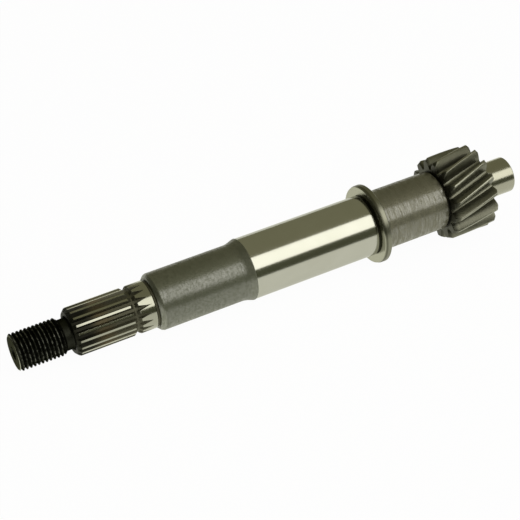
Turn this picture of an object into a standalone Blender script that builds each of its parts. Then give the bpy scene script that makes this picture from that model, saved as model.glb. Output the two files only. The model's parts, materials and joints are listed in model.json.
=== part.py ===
"""Drive shaft with a threaded end, a splined seat, a ground journal with a
thrust collar, and a helical pinion, all in one piece of steel.

The shaft is modelled upright, thread end at the origin and +Z along its axis,
and is then laid down along +X as it comes to rest on a flat surface: on the
rim of its collar and on the front edge of its shank, thread end low.
"""

import math

import bmesh
import bpy

MM = 0.001

# Threaded end, right-hand, and the neck behind it
THREAD_DIAMETER = 11.9 * MM
THREAD_PITCH = 1.25 * MM
THREAD_DEPTH = 0.7 * MM
THREAD_CREST = THREAD_PITCH / 8
THREAD_LAG = 0.7 * MM
THREAD_LENGTH = 14.4 * MM
THREAD_CHAMFER = 0.6 * MM
NECK_DIAMETER = 9.9 * MM
NECK_LENGTH = 4.5 * MM
NECK_FILLET = 0.6 * MM

# Splines, with the relief groove that parts them from the plain seat
SPLINE_TEETH = 19
SPLINE_DIAMETER = 15.4 * MM
SPLINE_ROOT_DIAMETER = 13.5 * MM
SPLINE_LENGTH = 17.6 * MM
SPLINE_LAND = 0.6 * MM
SPLINE_FLANK_ANGLE = math.radians(30)
SPLINE_NOSE = 1.1 * MM
SPLINE_PHASE = math.radians(239.5)
RELIEF_FLOOR = 0.5 * MM
RUN_OUT_LENGTH = 4.4 * MM

# Plain seat behind the splines, and the undercut at its shoulder
SEAT_LENGTH = 4.8 * MM
SEAT_UNDERCUT_LENGTH = 1.0 * MM
SEAT_UNDERCUT_DEPTH = 0.35 * MM

# Both undercuts also reach into the shoulder's face, which is flat from just outside the seat or journal
FACE_UNDERCUT_DEPTH = 0.2 * MM
FACE_CLEARANCE = 0.05 * MM

# Front shank, left as heat-treated, with a blunted chamfer, and the flare that meets the journal
SHANK_DIAMETER = 18.4 * MM
SHANK_LENGTH = 29.05 * MM
SHANK_CHAMFER = 0.85 * MM
SHANK_BLUNTING_LENGTH = 0.6 * MM
SHANK_BLUNTING_DEPTH = 0.25 * MM
FLARE_DIAMETER = 20.3 * MM
FLARE_LENGTH = 3.05 * MM
FLARE_FILLET = 1.2 * MM
FLARE_FILLET_RISE = 0.2 * MM

# Ground journal and its grinding undercut
JOURNAL_DIAMETER = 20.0 * MM
JOURNAL_LENGTH = 43.25 * MM
JOURNAL_UNDERCUT_LENGTH = 0.65 * MM
JOURNAL_UNDERCUT_DEPTH = 0.4 * MM

# Thrust collar, with a long shallow bevel in front and a broken edge behind
COLLAR_DIAMETER = 26.1 * MM
COLLAR_THICKNESS = 2.45 * MM
COLLAR_BEVEL_LENGTH = 0.8 * MM
COLLAR_BEVEL_DEPTH = 0.3 * MM
COLLAR_EDGE = 0.25 * MM

# Rear shank between the collar and the pinion
REAR_SHANK_DIAMETER = 19.6 * MM
REAR_SHANK_LENGTH = 23.35 * MM
REAR_SHANK_FILLET = 1.4 * MM
REAR_SHANK_LIP = 0.3 * MM
PINION_UNDERCUT_LENGTH = 0.5 * MM
PINION_UNDERCUT_DEPTH = 0.8 * MM

# Helical pinion, left-hand
PINION_TEETH = 15
PINION_MODULE = 1.5 * MM
PINION_SHIFT = 0.5
PINION_HELIX = math.radians(15.5)
PINION_PRESSURE_ANGLE = math.radians(20)
PINION_CLEARANCE = 0.25
PINION_FACE_WIDTH = 16.3 * MM
PINION_CHAMFER_DEPTH = 0.9 * MM
PINION_FRONT_CHAMFER = 1.6 * MM
PINION_REAR_CHAMFER = 0.7 * MM
PINION_ROOT_FILLET = 0.5 * MM
PINION_PHASE = math.radians(247.4)

# End journal
END_DIAMETER = 11.9 * MM
END_LENGTH = 11.6 * MM
END_CHAMFER = 0.4 * MM

# Centre holes that the shaft was turned and ground between
CENTRE_MOUTH_DIAMETER = 4.2 * MM
CENTRE_PILOT_DIAMETER = 2.0 * MM
CENTRE_PILOT_DEPTH = 2.2 * MM
CENTRE_CONE_ANGLE = math.radians(60)
CENTRE_DRILL_ANGLE = math.radians(118)

# Fineness of the mesh
TURNED_STEPS = 64
THREAD_STEPS = 24
SPARE_TURNS = 2
FILLET_STEPS = 3
FLANK_STEPS = 3
HELIX_STEPS = 5
CUTTER_MARGIN = 0.5 * MM
SHARP_ANGLE = math.radians(25)
MERGE_DISTANCE = 0.001 * MM

# Places along the axis, measured from the thread end
SPLINE_START = THREAD_LENGTH + NECK_LENGTH
SPLINE_END = SPLINE_START + SPLINE_LENGTH
RELIEF_DEPTH = (SPLINE_DIAMETER - SPLINE_ROOT_DIAMETER) / 2
SEAT_START = SPLINE_END + 2 * RELIEF_DEPTH + RELIEF_FLOOR
SEAT_END = SEAT_START + SEAT_LENGTH
SHANK_START = SEAT_END + SEAT_UNDERCUT_LENGTH
FLARE_START = SHANK_START + SHANK_LENGTH
JOURNAL_START = FLARE_START + FLARE_LENGTH
JOURNAL_END = JOURNAL_START + JOURNAL_LENGTH
COLLAR_START = JOURNAL_END + JOURNAL_UNDERCUT_LENGTH
COLLAR_END = COLLAR_START + COLLAR_THICKNESS
REAR_SHANK_END = COLLAR_END + REAR_SHANK_LENGTH
PINION_START = REAR_SHANK_END + PINION_UNDERCUT_LENGTH
PINION_END = PINION_START + PINION_FACE_WIDTH
SHAFT_LENGTH = PINION_END + END_LENGTH

# Radii of the pinion, from its module, shift and helix
PITCH_RADIUS = PINION_TEETH * PINION_MODULE / math.cos(PINION_HELIX) / 2
TIP_RADIUS = PITCH_RADIUS + (1 + PINION_SHIFT) * PINION_MODULE
ROOT_RADIUS = PITCH_RADIUS - (1 + PINION_CLEARANCE - PINION_SHIFT) * PINION_MODULE
TRANSVERSE_ANGLE = math.atan(math.tan(PINION_PRESSURE_ANGLE) / math.cos(PINION_HELIX))
BASE_RADIUS = PITCH_RADIUS * math.cos(TRANSVERSE_ANGLE)
TWIST_PER_METRE = math.tan(PINION_HELIX) / PITCH_RADIUS


def clear_scene():
    """Remove whatever the file already holds."""
    for obj in list(bpy.data.objects):
        bpy.data.objects.remove(obj, do_unlink=True)


def new_collection(name):
    """Make a collection in the scene and return it."""
    collection = bpy.data.collections.new(name)
    bpy.context.scene.collection.children.link(collection)
    return collection


def new_material(name, colour, roughness, metallic=1.0):
    """Make a Principled material."""
    material = bpy.data.materials.new(name)
    material.use_nodes = True
    shader = material.node_tree.nodes["Principled BSDF"]
    shader.inputs["Base Color"].default_value = (*colour, 1.0)
    shader.inputs["Roughness"].default_value = roughness
    shader.inputs["Metallic"].default_value = metallic
    return material


def fillet(centre, radius, start, end):
    """Points of an arc in the half section, from angle start to angle end."""
    points = []
    for step in range(FILLET_STEPS + 1):
        angle = start + (end - start) * step / FILLET_STEPS
        points.append((centre[0] + radius * math.cos(angle), centre[1] + radius * math.sin(angle)))
    return points


def centre_hole(face, inward):
    """Half section of a centre hole, from its mouth to the drill point on the axis."""
    mouth = CENTRE_MOUTH_DIAMETER / 2
    pilot = CENTRE_PILOT_DIAMETER / 2
    cone_depth = (mouth - pilot) / math.tan(CENTRE_CONE_ANGLE / 2)
    pilot_end = cone_depth + CENTRE_PILOT_DEPTH
    point_depth = pilot_end + pilot / math.tan(CENTRE_DRILL_ANGLE / 2)
    depths = ((mouth, 0.0), (pilot, cone_depth), (pilot, pilot_end), (0.0, point_depth))
    return [(radius, face + inward * depth) for radius, depth in depths]


def thread_outline(spare):
    """Half section of the threaded end; spare widens it beyond the thread, along the same cones."""
    crest = THREAD_DIAMETER / 2
    core = NECK_DIAMETER / 2 - CUTTER_MARGIN
    return [(crest - THREAD_CHAMFER, 0.0), (crest + spare, THREAD_CHAMFER + spare),
            (crest + spare, THREAD_LENGTH - spare), (core, THREAD_LENGTH + crest - core)]


def front_outline():
    """Half section from the neck, which starts inside the threaded end, to the journal's front edge."""
    neck = NECK_DIAMETER / 2
    spline = SPLINE_DIAMETER / 2
    relief = SPLINE_ROOT_DIAMETER / 2
    undercut = spline - SEAT_UNDERCUT_DEPTH
    shank = SHANK_DIAMETER / 2
    flare = FLARE_DIAMETER / 2
    nose_start = SPLINE_START - SPLINE_NOSE
    points = [(neck, THREAD_LENGTH / 2)]
    neck_corner = (neck + NECK_FILLET, nose_start - NECK_FILLET)
    points += fillet(neck_corner, NECK_FILLET, math.pi, math.pi / 2)
    points += [(spline - SPLINE_NOSE, nose_start), (spline, SPLINE_START), (spline, SPLINE_END)]
    points += [(relief, SPLINE_END + RELIEF_DEPTH), (relief, SEAT_START - RELIEF_DEPTH)]
    points += [(spline, SEAT_START), (spline, SEAT_END)]
    points += [(undercut, SEAT_END + SEAT_UNDERCUT_DEPTH), (undercut, SHANK_START + FACE_UNDERCUT_DEPTH)]
    blunt = shank - SHANK_BLUNTING_DEPTH
    points += [(spline + FACE_CLEARANCE, SHANK_START), (blunt - SHANK_CHAMFER, SHANK_START)]
    points += [(blunt, SHANK_START + SHANK_CHAMFER)]
    points += [(shank, SHANK_START + SHANK_CHAMFER + SHANK_BLUNTING_LENGTH)]
    points += [(shank, FLARE_START), (shank + FLARE_FILLET_RISE, FLARE_START + FLARE_FILLET)]
    points += [(flare, JOURNAL_START - flare + JOURNAL_DIAMETER / 2), (JOURNAL_DIAMETER / 2, JOURNAL_START)]
    return points


def rear_outline():
    """Half section from the journal's rear edge to the end journal's face."""
    journal = JOURNAL_DIAMETER / 2
    undercut = journal - JOURNAL_UNDERCUT_DEPTH
    collar = COLLAR_DIAMETER / 2
    shank = REAR_SHANK_DIAMETER / 2
    gear_core = shank - PINION_UNDERCUT_DEPTH
    end = END_DIAMETER / 2
    points = [(journal, JOURNAL_END), (undercut, JOURNAL_END + JOURNAL_UNDERCUT_DEPTH)]
    points += [(undercut, COLLAR_START + FACE_UNDERCUT_DEPTH), (journal + FACE_CLEARANCE, COLLAR_START)]
    points += [(collar - COLLAR_BEVEL_DEPTH, COLLAR_START)]
    points += [(collar, COLLAR_START + COLLAR_BEVEL_LENGTH), (collar, COLLAR_END - COLLAR_EDGE)]
    points += [(collar - COLLAR_EDGE, COLLAR_END)]
    corner = (shank + REAR_SHANK_FILLET, COLLAR_END + REAR_SHANK_FILLET)
    points += fillet(corner, REAR_SHANK_FILLET, -math.pi / 2, -math.pi)
    points += [(shank, REAR_SHANK_END - REAR_SHANK_LIP), (shank - REAR_SHANK_LIP, REAR_SHANK_END)]
    points += [(gear_core, REAR_SHANK_END), (gear_core, PINION_END - CUTTER_MARGIN)]
    points += [(end, PINION_END - CUTTER_MARGIN), (end, SHAFT_LENGTH - END_CHAMFER)]
    points += [(end - END_CHAMFER, SHAFT_LENGTH)]
    return points


def turned(name, outline, steps, collection, rise=0.0):
    """Turn a half section, given upwards as (radius, height), round the axis; rise is for one turn."""
    mesh = bpy.data.meshes.new(name)
    edges = [(index, index + 1) for index in range(len(outline) - 1)]
    mesh.from_pydata([(radius, 0.0, height) for radius, height in reversed(outline)], edges, [])
    obj = bpy.data.objects.new(name, mesh)
    collection.objects.link(obj)
    screw = obj.modifiers.new("turn", "SCREW")
    screw.axis = "Z"
    screw.screw_offset = rise
    screw.steps = steps
    screw.render_steps = steps
    screw.use_merge_vertices = True
    screw.merge_threshold = MERGE_DISTANCE
    return obj


def turned_shaft(collection):
    """The shaft from the neck to its rear end, still without splines and teeth."""
    outline = front_outline() + rear_outline() + centre_hole(SHAFT_LENGTH, -1)
    return turned("drive_shaft", [(0.0, THREAD_LENGTH / 2)] + outline, TURNED_STEPS, collection)


def threaded_rod(collection):
    """A rod threaded along its whole length, which reaches past the threaded end both ways.

    The lag sets where the crests come to lie along the shaft. The rod is turned by half a step,
    so that its edges don't run into those of the end's outline.
    """
    root = THREAD_DIAMETER / 2 - THREAD_DEPTH
    flank = (THREAD_PITCH - THREAD_CREST) / 2
    start = THREAD_LAG - SPARE_TURNS * THREAD_PITCH
    turns = math.ceil(THREAD_LENGTH / THREAD_PITCH) + 2 * SPARE_TURNS + 1
    outline = [(0.0, start)]
    for turn in range(turns):
        foot = start + turn * THREAD_PITCH
        outline += [(root, foot), (root + THREAD_DEPTH, foot + flank)]
        outline += [(root + THREAD_DEPTH, foot + flank + THREAD_CREST)]
    end = start + turns * THREAD_PITCH
    outline += [(root, end), (0.0, end)]
    rod = turned("threaded_rod", outline, THREAD_STEPS, collection, rise=THREAD_PITCH)
    apply_modifiers(rod)
    sheet = bmesh.new()
    sheet.from_mesh(rod.data)
    bmesh.ops.remove_doubles(sheet, verts=sheet.verts, dist=MERGE_DISTANCE)
    bmesh.ops.holes_fill(sheet, edges=sheet.edges)
    bmesh.ops.recalc_face_normals(sheet, faces=sheet.faces)
    sheet.to_mesh(rod.data)
    sheet.free()
    rod.rotation_euler.z = math.pi / THREAD_STEPS
    return rod


def threaded_end(collection):
    """The threaded end with its centre hole: the threaded rod, trimmed to a turned outline."""
    outline = list(reversed(centre_hole(0.0, 1))) + thread_outline(CUTTER_MARGIN)
    outline.append((0.0, outline[-1][1]))
    end = turned("threaded_end", outline, THREAD_STEPS, collection)
    combine(end, threaded_rod(collection), "INTERSECT")
    return end


def loft(rings):
    """Join closed rings of equal point counts into a capped solid, as a bmesh."""
    solid = bmesh.new()
    layers = [[solid.verts.new(point) for point in ring] for ring in rings]
    count = len(rings[0])
    for lower, upper in zip(layers, layers[1:]):
        for index in range(count):
            after = (index + 1) % count
            solid.faces.new((lower[index], lower[after], upper[after], upper[index]))
    solid.faces.new(reversed(layers[0]))
    solid.faces.new(layers[-1])
    return solid


def groove_ring(height, floor, floor_width, phase):
    """One section across a spline groove: a trapezium that widens outwards."""
    top = SPLINE_DIAMETER / 2 + CUTTER_MARGIN
    top_width = floor_width + 2 * (top - floor) * math.tan(SPLINE_FLANK_ANGLE)
    corners = [(floor, -floor_width / 2), (top, -top_width / 2)]
    corners += [(top, top_width / 2), (floor, floor_width / 2)]
    cos, sin = math.cos(phase), math.sin(phase)
    return [(x * cos - y * sin, x * sin + y * cos, height) for x, y in corners]


def spline_cutter(collection):
    """The grooves between the splines; each runs out to a point in the plain seat."""
    pitch = 2 * math.pi / SPLINE_TEETH
    outer = SPLINE_DIAMETER / 2
    floor = SPLINE_ROOT_DIAMETER / 2
    mouth_width = pitch * outer - SPLINE_LAND
    floor_width = mouth_width - 2 * (outer - floor) * math.tan(SPLINE_FLANK_ANGLE)
    start = SPLINE_START - SPLINE_NOSE - NECK_FILLET
    run_out_start = SEAT_START - CUTTER_MARGIN
    run_out_end = run_out_start + RUN_OUT_LENGTH
    point_width = 0.1 * floor_width
    mesh = bpy.data.meshes.new("spline_cutter")
    cutter_mesh = bmesh.new()
    for groove in range(SPLINE_TEETH):
        phase = SPLINE_PHASE + (groove + 0.5) * pitch
        rings = [groove_ring(start, floor, floor_width, phase)]
        rings.append(groove_ring(run_out_start, floor, floor_width, phase))
        rings.append(groove_ring(run_out_end, outer + point_width, point_width, phase))
        single = loft(rings)
        single.to_mesh(mesh)
        single.free()
        cutter_mesh.from_mesh(mesh)
    cutter_mesh.to_mesh(mesh)
    cutter_mesh.free()
    cutter = bpy.data.objects.new("spline_cutter", mesh)
    collection.objects.link(cutter)
    return cutter


def involute(angle):
    """The involute function of a pressure angle."""
    return math.tan(angle) - angle


def tooth_half_angle(radius):
    """Half of the angle that a pinion tooth fills at a radius, seen along the axis."""
    at_pitch = (math.pi / 2 + 2 * PINION_SHIFT * math.tan(PINION_PRESSURE_ANGLE)) / PINION_TEETH
    pressure = math.acos(min(1.0, BASE_RADIUS / radius))
    return at_pitch + involute(TRANSVERSE_ANGLE) - involute(pressure)


def tooth_half(tip):
    """One side of a tooth from the middle of the space up to its tip, as (radius, angle)."""
    pitch = 2 * math.pi / PINION_TEETH
    flank_start = ROOT_RADIUS + PINION_ROOT_FILLET
    root_angle = tooth_half_angle(flank_start) + PINION_ROOT_FILLET / ROOT_RADIUS
    points = [(ROOT_RADIUS, pitch / 2), (ROOT_RADIUS, root_angle)]
    for step in range(FLANK_STEPS + 1):
        radius = flank_start + (tip - flank_start) * step / FLANK_STEPS
        points.append((radius, tooth_half_angle(radius)))
    return points


def pinion_ring(height, tip):
    """The pinion's outline at one height, turned back by the left-hand helix."""
    pitch = 2 * math.pi / PINION_TEETH
    half = tooth_half(tip)
    tooth = [(radius, -angle) for radius, angle in half] + list(reversed(half[1:]))
    twist = PINION_PHASE - TWIST_PER_METRE * (height - PINION_START)
    ring = []
    for number in range(PINION_TEETH):
        for radius, angle in tooth:
            turn = twist + number * pitch + angle
            ring.append((radius * math.cos(turn), radius * math.sin(turn), height))
    return ring


def pinion_teeth(collection):
    """The toothed ring, lofted along its helix, with its tooth ends chamfered."""
    chamfered_tip = TIP_RADIUS - PINION_CHAMFER_DEPTH
    full_start = PINION_START + PINION_FRONT_CHAMFER
    full_length = PINION_FACE_WIDTH - PINION_FRONT_CHAMFER - PINION_REAR_CHAMFER
    rings = [pinion_ring(PINION_START, chamfered_tip)]
    for step in range(HELIX_STEPS + 1):
        rings.append(pinion_ring(full_start + full_length * step / HELIX_STEPS, TIP_RADIUS))
    rings.append(pinion_ring(PINION_END, chamfered_tip))
    mesh = bpy.data.meshes.new("pinion_teeth")
    solid = loft(rings)
    solid.to_mesh(mesh)
    solid.free()
    teeth = bpy.data.objects.new("pinion_teeth", mesh)
    collection.objects.link(teeth)
    return teeth


def combine(shaft, other, operation):
    """Cut another solid out of the shaft, or join it on."""
    other.hide_render = True
    other.display_type = "WIRE"
    boolean = shaft.modifiers.new(other.name, "BOOLEAN")
    boolean.object = other
    boolean.operation = operation
    boolean.solver = "EXACT"


def apply_modifiers(obj):
    """Give the object its evaluated mesh in place of its modifiers."""
    depsgraph = bpy.context.evaluated_depsgraph_get()
    mesh = bpy.data.meshes.new_from_object(obj.evaluated_get(depsgraph))
    obj.modifiers.clear()
    obj.data = mesh
    mesh.name = obj.name


def finish_surface(shaft):
    """Smooth shading with crisp edges, and the finish of each stretch of the shaft."""
    shaft.data.shade_smooth()
    shaft.data.set_sharp_from_angle(angle=SHARP_ANGLE)
    treated = new_material("heat_treated_steel", (0.16, 0.16, 0.13), 0.45)
    ground = new_material("ground_steel", (0.55, 0.55, 0.49), 0.15)
    blackened = new_material("blackened_steel", (0.02, 0.02, 0.018), 0.4)
    stretches = (
        (0.0, SPLINE_START - SPLINE_NOSE, blackened),
        (SPLINE_START - SPLINE_NOSE, SEAT_END, ground),
        (JOURNAL_START, COLLAR_END, ground),
        (PINION_END, SHAFT_LENGTH, ground),
    )
    for material in (treated, ground, blackened):
        shaft.data.materials.append(material)
    for face in shaft.data.polygons:
        for start, end, material in stretches:
            if start <= face.center.z <= end:
                face.material_index = shaft.data.materials.find(material.name)


def lay_down(shaft):
    """Lay the shaft along +X on the ground, with the middle of its box at x = 0."""
    outline = thread_outline(0.0) + front_outline() + rear_outline()
    outline += [(TIP_RADIUS, PINION_START + PINION_FRONT_CHAMFER)]
    outline += [(TIP_RADIUS, PINION_END - PINION_REAR_CHAMFER)]
    collar = COLLAR_DIAMETER / 2
    rim = COLLAR_START + COLLAR_BEVEL_LENGTH
    tilt = min(math.atan2(collar - radius, rim - height) for radius, height in outline if height < rim)
    cos, sin = math.cos(tilt), math.sin(tilt)
    reach = [height * cos + side * radius * sin for radius, height in outline for side in (-1, 1)]
    shaft.rotation_euler = (0.0, math.pi / 2 - tilt, 0.0)
    shaft.location = (-(min(reach) + max(reach)) / 2, 0.0, collar * cos - rim * sin)


clear_scene()
parts = new_collection("drive_shaft")
cutters = new_collection("cutters")
drive_shaft = turned_shaft(parts)
combine(drive_shaft, threaded_end(cutters), "UNION")
combine(drive_shaft, spline_cutter(cutters), "DIFFERENCE")
combine(drive_shaft, pinion_teeth(cutters), "UNION")
apply_modifiers(drive_shaft)
finish_surface(drive_shaft)
lay_down(drive_shaft)
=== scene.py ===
"""Studio picture of a steel drive shaft: threaded end, splined seat, ground journal with
a thrust collar, and helical pinion. Every stretch of the shaft is modelled upright, thread
end at the origin and +Z along the axis, and is then laid where the frame's shaft lies."""

import json
import math

import bmesh
import bpy
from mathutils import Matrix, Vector


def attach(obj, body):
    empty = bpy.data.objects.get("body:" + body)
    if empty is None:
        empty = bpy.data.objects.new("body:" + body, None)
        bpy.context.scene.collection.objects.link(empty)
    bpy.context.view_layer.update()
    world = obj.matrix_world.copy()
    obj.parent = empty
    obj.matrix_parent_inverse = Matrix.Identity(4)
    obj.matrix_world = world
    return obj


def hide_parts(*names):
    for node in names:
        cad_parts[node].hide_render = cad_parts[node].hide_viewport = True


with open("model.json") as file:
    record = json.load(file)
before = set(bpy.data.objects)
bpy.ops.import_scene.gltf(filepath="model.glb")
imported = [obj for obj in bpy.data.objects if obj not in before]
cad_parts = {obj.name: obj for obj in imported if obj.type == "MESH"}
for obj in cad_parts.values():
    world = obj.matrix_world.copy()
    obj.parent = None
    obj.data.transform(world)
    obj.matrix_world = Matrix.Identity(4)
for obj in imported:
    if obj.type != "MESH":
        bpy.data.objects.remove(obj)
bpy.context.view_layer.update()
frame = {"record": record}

MM = 0.001


# Floor: a wide sheet of pale studio paper under the shaft. It takes the lamps' light and the
# shaft's soft shadow, and reads as white. Mirrored in the metal it is a little warmer, and gives
# way to the dark front of the room a hand's breadth before the shaft, as in the photograph.
FLOOR_SIZE = 8.0
FLOOR_COLOUR = (0.86, 0.86, 0.85, 1.0)
FLOOR_ROUGHNESS = 0.9
FLOOR_GLOW = 0.97
WHITE = (1.0, 1.0, 1.0, 1.0)
PAPER_IN_METAL = (1.0, 1.0, 0.87, 1.0)
PAPER_FRONT = -0.135
PAPER_FADE = 0.02
DARK_COLOUR = (0.10, 0.105, 0.062, 1.0)
PAPER_GRAIN = 900.0
PAPER_RELIEF = 0.1 * MM
PAPER_RELIEF_STRENGTH = 0.1


class Field:
    """A number, colour or vector that varies over a surface: one output of a node tree."""

    def __init__(self, nodes, socket):
        self.nodes = nodes
        self.socket = socket

    def maths(self, operation, first, second):
        return self.nodes.add("ShaderNodeMath", {"operation": operation}, {0: first, 1: second})

    def __add__(self, other):
        return self.maths("ADD", self, other)

    __radd__ = __add__

    def __sub__(self, other):
        return self.maths("SUBTRACT", self, other)

    def __rsub__(self, other):
        return self.maths("SUBTRACT", other, self)

    def __mul__(self, other):
        return self.maths("MULTIPLY", self, other)

    __rmul__ = __mul__


class Nodes:
    """The node tree of a material or of the world."""

    def __init__(self, tree):
        self.tree = tree

    def add(self, kind, settings=None, inputs=None, output=0):
        """Adds a node: its type, then its settings, then the values or links of its sockets."""
        node = self.tree.nodes.new(kind)
        for name, value in (settings or {}).items():
            setattr(node, name, value)
        for name, value in (inputs or {}).items():
            self.put(node.inputs[name], value)
        return Field(self, node.outputs[output])

    def put(self, socket, value):
        """Links a field to a socket, or sets a constant on it."""
        if isinstance(value, Field):
            self.tree.links.new(value.socket, socket)
        else:
            socket.default_value = value

    def step(self, value, low, high):
        """0 below low and 1 above high, with a smooth rise between."""
        settings = {"interpolation_type": "SMOOTHSTEP"}
        inputs = {"Value": value, "From Min": low, "From Max": high}
        return self.add("ShaderNodeMapRange", settings, inputs)

    def blend(self, factor, first, second):
        """The first colour where the factor is 0, the second where it is 1."""
        return self.add("ShaderNodeMix", {"data_type": "RGBA"}, {0: factor, 6: first, 7: second}, output=2)


def seen_directly(nodes):
    """1 for what the camera sees, straight or in metal or glass, and 0 for scattered light."""
    path = "ShaderNodeLightPath"
    seen = nodes.add(path, output="Is Camera Ray") + nodes.add(path, output="Is Glossy Ray")
    return seen + nodes.add(path, output="Is Transmission Ray")


bpy.ops.object.select_all(action="DESELECT")
bpy.ops.mesh.primitive_plane_add(size=FLOOR_SIZE)
floor = bpy.context.object
floor.name = "studio_floor"
paper = bpy.data.materials.new("studio_paper")
paper.use_nodes = True
paper_nodes = Nodes(paper.node_tree)
paper_shader = paper.node_tree.nodes["Principled BSDF"]
paper_shader.inputs["Base Color"].default_value = FLOOR_COLOUR
paper_shader.inputs["Roughness"].default_value = FLOOR_ROUGHNESS
paper_place = paper_nodes.add("ShaderNodeTexCoord", output="Object")
paper_grain = paper_nodes.add("ShaderNodeTexNoise", None, {"Vector": paper_place, "Scale": PAPER_GRAIN})
paper_relief = {"Height": paper_grain, "Strength": PAPER_RELIEF_STRENGTH, "Distance": PAPER_RELIEF}
paper_nodes.put(paper_shader.inputs["Normal"], paper_nodes.add("ShaderNodeBump", None, paper_relief))
towards_back = paper_nodes.add("ShaderNodeSeparateXYZ", None, {0: paper_place}, output="Y")
in_front = 1.0 - paper_nodes.step(towards_back, PAPER_FRONT - PAPER_FADE, PAPER_FRONT + PAPER_FADE)
in_metal = paper_nodes.add("ShaderNodeLightPath", output="Is Glossy Ray")
mirrored_colour = paper_nodes.blend(in_front, PAPER_IN_METAL, DARK_COLOUR)
paper_colour = paper_nodes.blend(in_metal, WHITE, mirrored_colour)
paper_glow = paper_nodes.add("ShaderNodeEmission", None, {"Color": paper_colour, "Strength": 1.0})
glow_share = FLOOR_GLOW * seen_directly(paper_nodes)
lit_paper = Field(paper_nodes, paper_shader.outputs[0])
paper_surface = paper_nodes.add("ShaderNodeMixShader", None, {0: glow_share, 1: lit_paper, 2: paper_glow})
paper_nodes.put(paper.node_tree.nodes["Material Output"].inputs["Surface"], paper_surface)
floor.data.materials.append(paper)


# Light: one big softbox above and in front of the shaft draws the bright band along the ground
# journals. The room round it is dim and olive, and dark low down behind the camera and to the
# left. A broad fill from above lights the paper and stays out of the metal's reflections.
SOFTBOX_DISTANCE = 0.80
SOFTBOX_ANGLE = math.radians(41.0)
SOFTBOX_SIDE = 0.43
SOFTBOX_LENGTH = 1.0
SOFTBOX_WIDTH = 0.65
SOFTBOX_POWER = 3.65
SOFTBOX_COLOUR = (1.0, 0.99, 0.93)
FILL_HEIGHT = 1.6
FILL_SIZE = 1.6
FILL_POWER = 8.0
ROOM_COLOUR = (0.275, 0.268, 0.168, 1.0)
FRONT_DARK_FROM = math.radians(62)
FRONT_DARK_TO = math.radians(70)
LEFT_COLOUR = (0.06, 0.06, 0.04, 1.0)
LEFT_DARK_FROM = -0.05
LEFT_DARK_TO = -0.35


def area_lamp(name, power, length, width, location, tilt):
    """Adds a rectangular area lamp that the camera doesn't see."""
    bpy.ops.object.light_add(type="AREA", location=location, rotation=(tilt, 0.0, 0.0))
    lamp = bpy.context.object
    lamp.name = name
    lamp.data.shape = "RECTANGLE"
    lamp.data.size = length
    lamp.data.size_y = width
    lamp.data.energy = power
    lamp.visible_camera = False
    return lamp


softbox_forward = SOFTBOX_DISTANCE * math.sin(SOFTBOX_ANGLE)
softbox_height = SOFTBOX_DISTANCE * math.cos(SOFTBOX_ANGLE)
softbox_place = (SOFTBOX_SIDE, -softbox_forward, softbox_height)
softbox = area_lamp("softbox", SOFTBOX_POWER, SOFTBOX_LENGTH, SOFTBOX_WIDTH, softbox_place, SOFTBOX_ANGLE)
softbox.data.color = SOFTBOX_COLOUR
fill = area_lamp("fill", FILL_POWER, FILL_SIZE, FILL_SIZE, (0.0, 0.0, FILL_HEIGHT), 0.0)
fill.visible_glossy = False

world = bpy.data.worlds.new("studio")
world.use_nodes = True
bpy.context.scene.world = world
room = Nodes(world.node_tree)
direction = room.add("ShaderNodeTexCoord", output="Generated")
to_back = room.add("ShaderNodeSeparateXYZ", None, {0: direction}, output="Y")
upwards = room.add("ShaderNodeSeparateXYZ", None, {0: direction}, output="Z")
to_right = room.add("ShaderNodeSeparateXYZ", None, {0: direction}, output="X")
from_zenith = room.add("ShaderNodeMath", {"operation": "ARCTAN2"}, {0: 0.0 - to_back, 1: upwards})
low_in_front = room.step(from_zenith, FRONT_DARK_FROM, FRONT_DARK_TO)
room_colour = room.blend(low_in_front, ROOM_COLOUR, DARK_COLOUR)
room_colour = room.blend(room.step(to_right, LEFT_DARK_TO, LEFT_DARK_FROM), LEFT_COLOUR, room_colour)
in_view = room.add("ShaderNodeLightPath", output="Is Camera Ray")
room_colour = room.blend(in_view, room_colour, WHITE)
room.put(world.node_tree.nodes["Background"].inputs["Color"], room_colour)

bpy.context.scene.view_settings.view_transform = "Standard"


# Camera: the photograph's view, from the front, high and a little to the thread's side, through
# a long lens that lies half a metre off.
CAMERA_PLACE = Vector((-0.1846, -0.3444, 0.3115))
CAMERA_AZIMUTH = math.radians(-27.55)
CAMERA_ELEVATION = math.radians(37.6)
CAMERA_LENS = 108.3
CAMERA_NEAR = 0.01

camera_turn = (math.pi / 2 - CAMERA_ELEVATION, 0.0, CAMERA_AZIMUTH)
bpy.ops.object.camera_add(location=CAMERA_PLACE, rotation=camera_turn)
camera = bpy.context.object
camera.name = "camera"
camera.data.lens = CAMERA_LENS
camera.data.clip_start = CAMERA_NEAR
bpy.context.scene.camera = camera


# Threaded end: a right-hand M12 fine thread for the hub nut, with a chamfered end face, a
# centre hole, and a plain neck that rounds up to the splines. The steel is blackened here, and
# worn bright in patches along the crests. A bright ring round the end face's rim is a painted
# highlight on its edge.
THREAD_DIAMETER = 11.9 * MM
THREAD_PITCH = 1.25 * MM
THREAD_LAG = 0.7 * MM
THREAD_LENGTH = 14.4 * MM
THREAD_CHAMFER = 0.6 * MM
THREAD_MINOR_DIAMETER = 10.6 * MM
THREAD_ROOT_DIAMETER = 10.4 * MM
THREAD_ROOT_SHARE = 1 / 4
THREAD_CREST_SHARE = 1 / 8
NECK_DIAMETER = 9.9 * MM
NECK_END = 17.8 * MM
NECK_FILLET = 0.6 * MM
CENTRE_MOUTH_DIAMETER = 4.2 * MM
CENTRE_PILOT_DIAMETER = 2.0 * MM
CENTRE_CONE_DEPTH = 1.9 * MM
CENTRE_PILOT_DEPTH = 4.1 * MM
CENTRE_POINT_DEPTH = 4.7 * MM
HUB_SHOULDER = 44.7 * MM
HUB_SHOULDER_RADIUS = 7.92 * MM
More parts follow.
